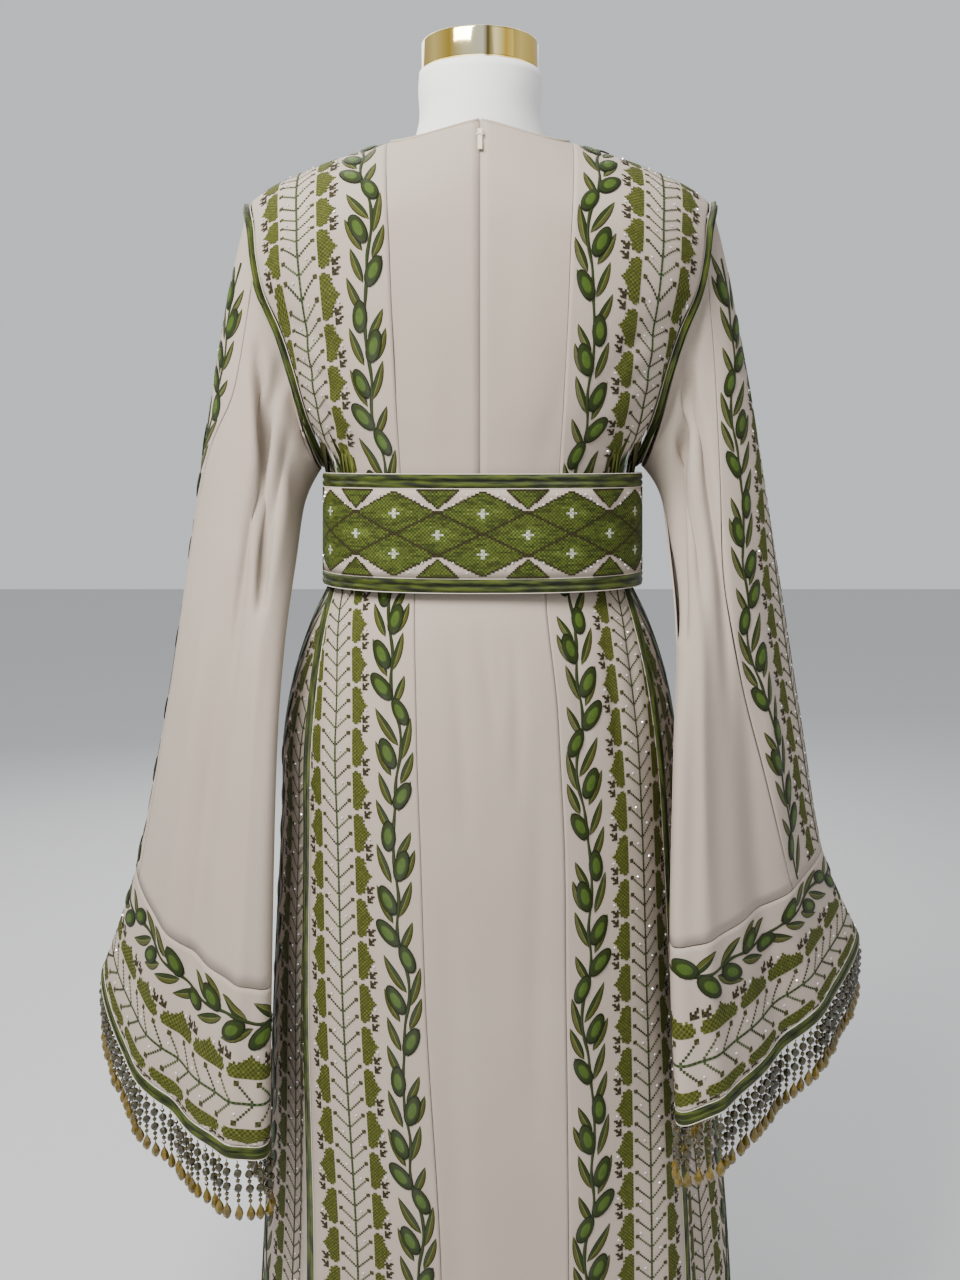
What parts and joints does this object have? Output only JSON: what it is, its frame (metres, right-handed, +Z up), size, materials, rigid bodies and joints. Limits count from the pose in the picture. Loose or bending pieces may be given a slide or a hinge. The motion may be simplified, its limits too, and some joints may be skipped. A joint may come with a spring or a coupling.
{
  "type": "thobe robe on a limbless dress form with a stand",
  "caption": "Long embroidered robe with a wide belt, deep sleeves, flared bead-fringed cuffs and a back zip, worn by a limbless dress form on a round stand.",
  "frame": {"origin": "on the floor, under the middle of the stand's round base", "axes": "+Z up, the wearer's front faces -Y, the zipped back faces +Y, the wearer's left is +X"},
  "size_m": [0.8059, 0.428, 1.4695],
  "materials": {
    "crepe": "matt greige crepe",
    "embroidered_crepe": "crepe worked in green cross stitch and satin stitch",
    "green_satin": "ridged satin stitch in two greens",
    "belt_embroidery": "dense green cross stitch",
    "bead_fringe": "faceted olive and amber glass beads",
    "zip_enamel": "beige enamel",
    "form_linen": "white linen",
    "cap_gold": "polished gold",
    "stand_metal": "satin steel"
  },
  "bodies": {
    "robe": {"armhole_piping_left": "green_satin", "armhole_piping_right": "green_satin", "bead_fringe_left": "bead_fringe", "bead_fringe_right": "bead_fringe", "belt_band": "belt_embroidery", "belt_piping_bottom": "green_satin", "belt_piping_top": "green_satin", "bodice_back_centre_left": "crepe", "bodice_back_centre_right": "crepe", "bodice_back_side_left": "embroidered_crepe", "bodice_back_side_right": "embroidered_crepe", "bodice_front_centre": "crepe", "bodice_front_side_left": "embroidered_crepe", "bodice_front_side_right": "embroidered_crepe", "cuff_left": "embroidered_crepe", "cuff_piping_left": "green_satin", "cuff_piping_right": "green_satin", "cuff_right": "embroidered_crepe", "form_body": "form_linen", "form_cap": "cap_gold", "neck_binding": "crepe", "skirt_back_centre": "crepe", "skirt_back_piping_left": "green_satin", "skirt_back_piping_right": "green_satin", "skirt_back_side_left": "embroidered_crepe", "skirt_back_side_right": "embroidered_crepe", "skirt_front_centre": "crepe", "skirt_front_side_left": "embroidered_crepe", "skirt_front_side_right": "embroidered_crepe", "skirt_side_left": "embroidered_crepe", "skirt_side_piping_left": "green_satin", "skirt_side_piping_right": "green_satin", "skirt_side_right": "embroidered_crepe", "sleeve_back_left": "crepe", "sleeve_back_right": "crepe", "sleeve_front_left": "crepe", "sleeve_front_right": "crepe", "sleeve_strip_left": "embroidered_crepe", "sleeve_strip_right": "embroidered_crepe", "stand_base": "stand_metal", "stand_pole": "stand_metal", "zip_slider": "zip_enamel", "zip_tape": "zip_enamel"},
    "pull_tab": {"zip_pull": "zip_enamel"}
  },
  "joints": [
    {"name": "zip_pull_swing", "type": "hinge", "parent": "robe", "child": "pull_tab", "pos_m": [0, 0.08619, 1.36733], "axis": [1, 0, 0], "range_deg": [0, 150]}
  ]
}
